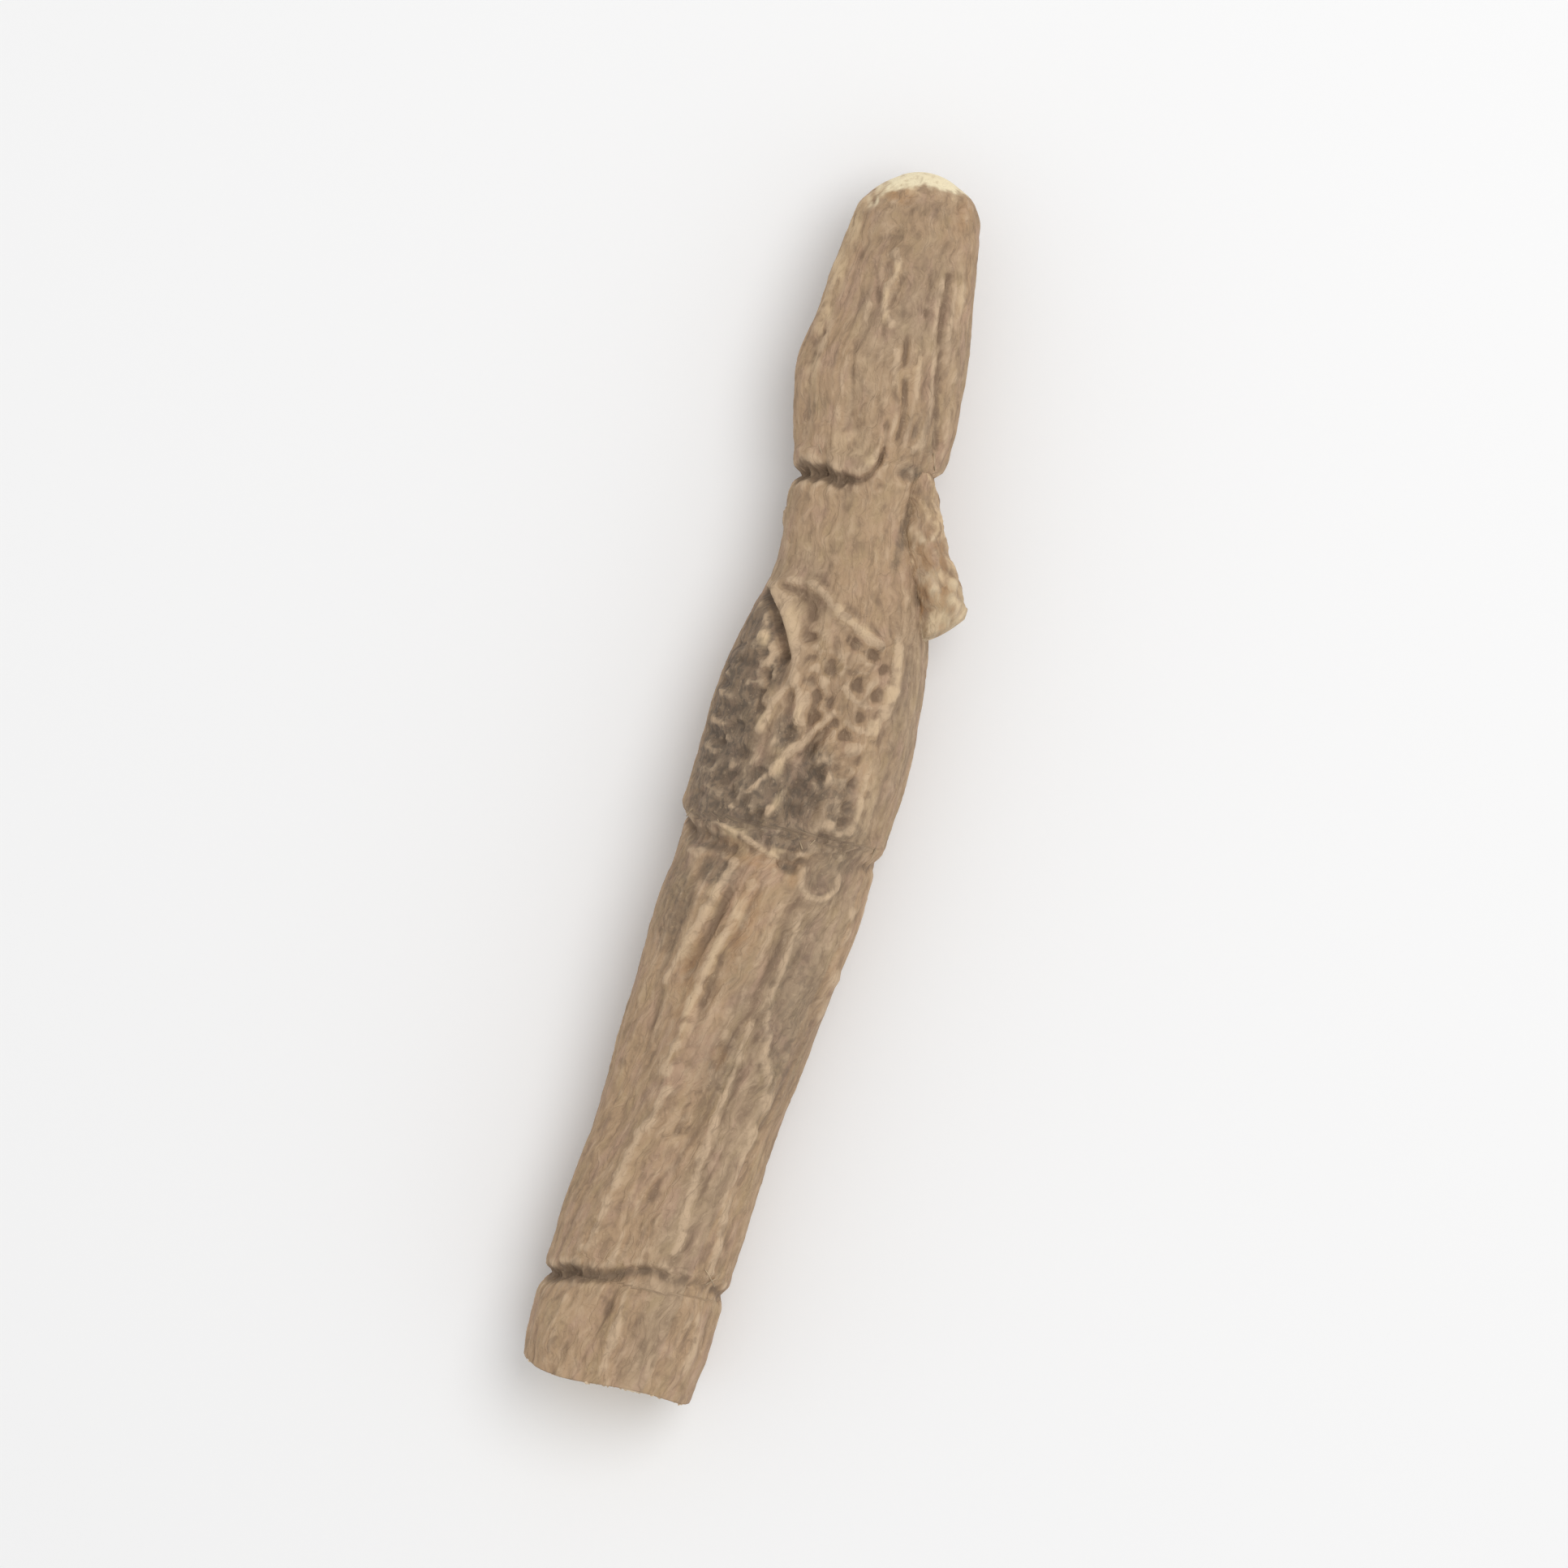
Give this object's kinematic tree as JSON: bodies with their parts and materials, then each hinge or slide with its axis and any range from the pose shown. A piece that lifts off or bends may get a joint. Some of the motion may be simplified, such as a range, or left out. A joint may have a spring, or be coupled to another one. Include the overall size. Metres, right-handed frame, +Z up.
{
  "type": "sweet flag root",
  "caption": "Dried sweet flag rhizome lying on its side, with node rings, a pitted leaf scar, rows of root scars, lengthwise wrinkles and a side bud.",
  "frame": {"origin": "under the middle of the root, on the surface that it lies on", "axes": "+Z up, +X towards the rounded top end, +Y to the side away from the bud"},
  "size_m": [0.084, 0.0194, 0.0119],
  "materials": {
    "dried_root": "matte, wrinkled dried bark skin, tan with dark cracks and pale rims"
  },
  "bodies": {
    "root": {"rhizome": "dried_root"}
  },
  "joints": []
}
